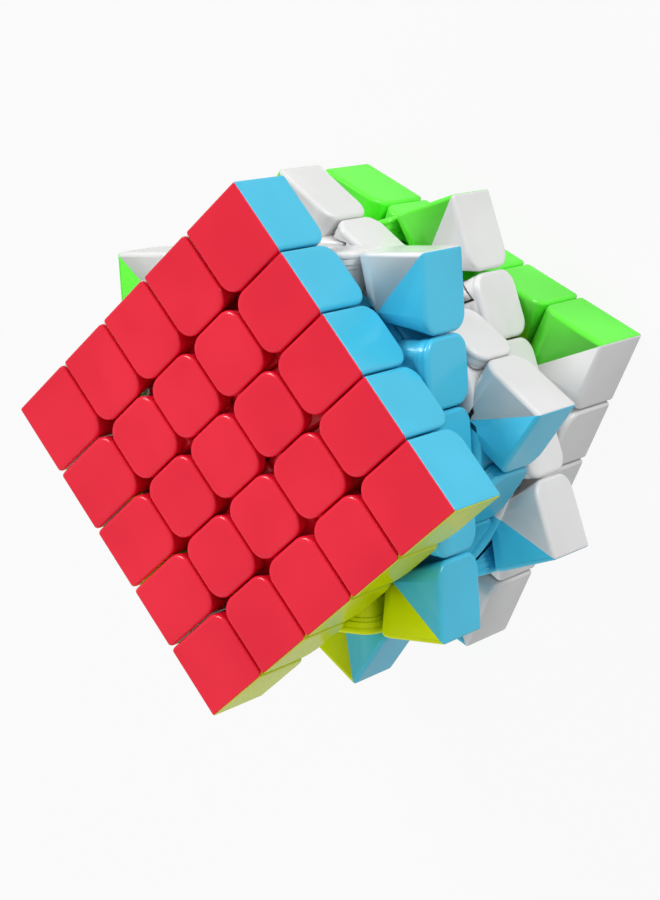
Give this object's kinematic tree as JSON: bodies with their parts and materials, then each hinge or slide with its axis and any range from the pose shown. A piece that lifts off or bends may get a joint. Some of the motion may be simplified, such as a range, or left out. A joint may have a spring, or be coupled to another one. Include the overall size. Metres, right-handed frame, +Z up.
{
  "type": "twisty puzzle cube",
  "caption": "Stickerless twisty puzzle cube whose layers are turned in steps about one axis, with coloured cubelets hooked round a sprung core.",
  "frame": {"origin": "middle of the flat bottom face", "axes": "+Z up, along the axis that the layers turn about; +X the blue side and +Y the white side of the top layer"},
  "size_m": [0.0868, 0.0868, 0.062],
  "materials": {
    "red_plastic": "glossy moulded ABS, through-coloured red",
    "orange_plastic": "glossy moulded ABS, through-coloured orange",
    "blue_plastic": "glossy moulded ABS, through-coloured sky blue",
    "white_plastic": "glossy moulded ABS, through-coloured white",
    "green_plastic": "glossy moulded ABS, through-coloured bright green",
    "yellow_plastic": "glossy moulded ABS, through-coloured lemon yellow",
    "foot_plastic": "moulded ABS feet of the slices, in each side's colour",
    "core_plastic": "dark moulded core",
    "screw_steel": "zinc plated screws",
    "spring_steel": "spring wire",
    "washer_steel": "plain washers"
  },
  "bodies": {
    "middle_slice": {"middle_blue_shells": "blue_plastic", "middle_white_shells": "white_plastic", "middle_green_shells": "green_plastic", "middle_yellow_shells": "yellow_plastic", "middle_blue_fixed_cap": "blue_plastic", "middle_white_fixed_cap": "white_plastic", "middle_green_fixed_cap": "green_plastic", "middle_yellow_fixed_cap": "yellow_plastic", "middle_edge_feet": "foot_plastic", "middle_cross_feet": "foot_plastic", "middle_fixed_bases": "foot_plastic", "core": "core_plastic", "screws": "screw_steel", "springs": "spring_steel", "washers": "washer_steel"},
    "upper_slice": {"upper_blue_shells": "blue_plastic", "upper_white_shells": "white_plastic", "upper_green_shells": "green_plastic", "upper_yellow_shells": "yellow_plastic", "upper_wing_feet": "foot_plastic", "upper_centre_feet": "foot_plastic"},
    "lower_slice": {"lower_blue_shells": "blue_plastic", "lower_white_shells": "white_plastic", "lower_green_shells": "green_plastic", "lower_yellow_shells": "yellow_plastic", "lower_wing_feet": "foot_plastic", "lower_centre_feet": "foot_plastic"},
    "top_layer": {"top_red_corner_shells": "red_plastic", "top_red_wing_shells": "red_plastic", "top_red_middle_edge_shells": "red_plastic", "top_red_diagonal_shells": "red_plastic", "top_red_cross_shells": "red_plastic", "top_red_fixed_shells": "red_plastic", "top_corner_feet": "red_plastic", "top_wing_feet": "red_plastic", "top_middle_edge_feet": "red_plastic", "top_diagonal_feet": "red_plastic", "top_cross_feet": "red_plastic", "top_fixed_feet": "red_plastic", "top_blue_shells": "blue_plastic", "top_white_shells": "white_plastic", "top_green_shells": "green_plastic", "top_yellow_shells": "yellow_plastic"},
    "bottom_layer": {"bottom_orange_corner_shells": "orange_plastic", "bottom_orange_wing_shells": "orange_plastic", "bottom_orange_middle_edge_shells": "orange_plastic", "bottom_orange_diagonal_shells": "orange_plastic", "bottom_orange_cross_shells": "orange_plastic", "bottom_orange_fixed_shells": "orange_plastic", "bottom_corner_feet": "orange_plastic", "bottom_wing_feet": "orange_plastic", "bottom_middle_edge_feet": "orange_plastic", "bottom_diagonal_feet": "orange_plastic", "bottom_cross_feet": "orange_plastic", "bottom_fixed_feet": "orange_plastic", "bottom_blue_shells": "blue_plastic", "bottom_white_shells": "white_plastic", "bottom_green_shells": "green_plastic", "bottom_yellow_shells": "yellow_plastic"}
  },
  "joints": [
    {"name": "top_turn", "type": "hinge", "parent": "middle_slice", "child": "top_layer", "pos_m": [0, 0, 0.031], "axis": [0, 0, 1], "continuous": true},
    {"name": "upper_turn", "type": "hinge", "parent": "middle_slice", "child": "upper_slice", "pos_m": [0, 0, 0.031], "axis": [0, 0, 1], "continuous": true},
    {"name": "lower_turn", "type": "hinge", "parent": "middle_slice", "child": "lower_slice", "pos_m": [0, 0, 0.031], "axis": [0, 0, 1], "continuous": true},
    {"name": "bottom_turn", "type": "hinge", "parent": "middle_slice", "child": "bottom_layer", "pos_m": [0, 0, 0.031], "axis": [0, 0, 1], "continuous": true}
  ]
}
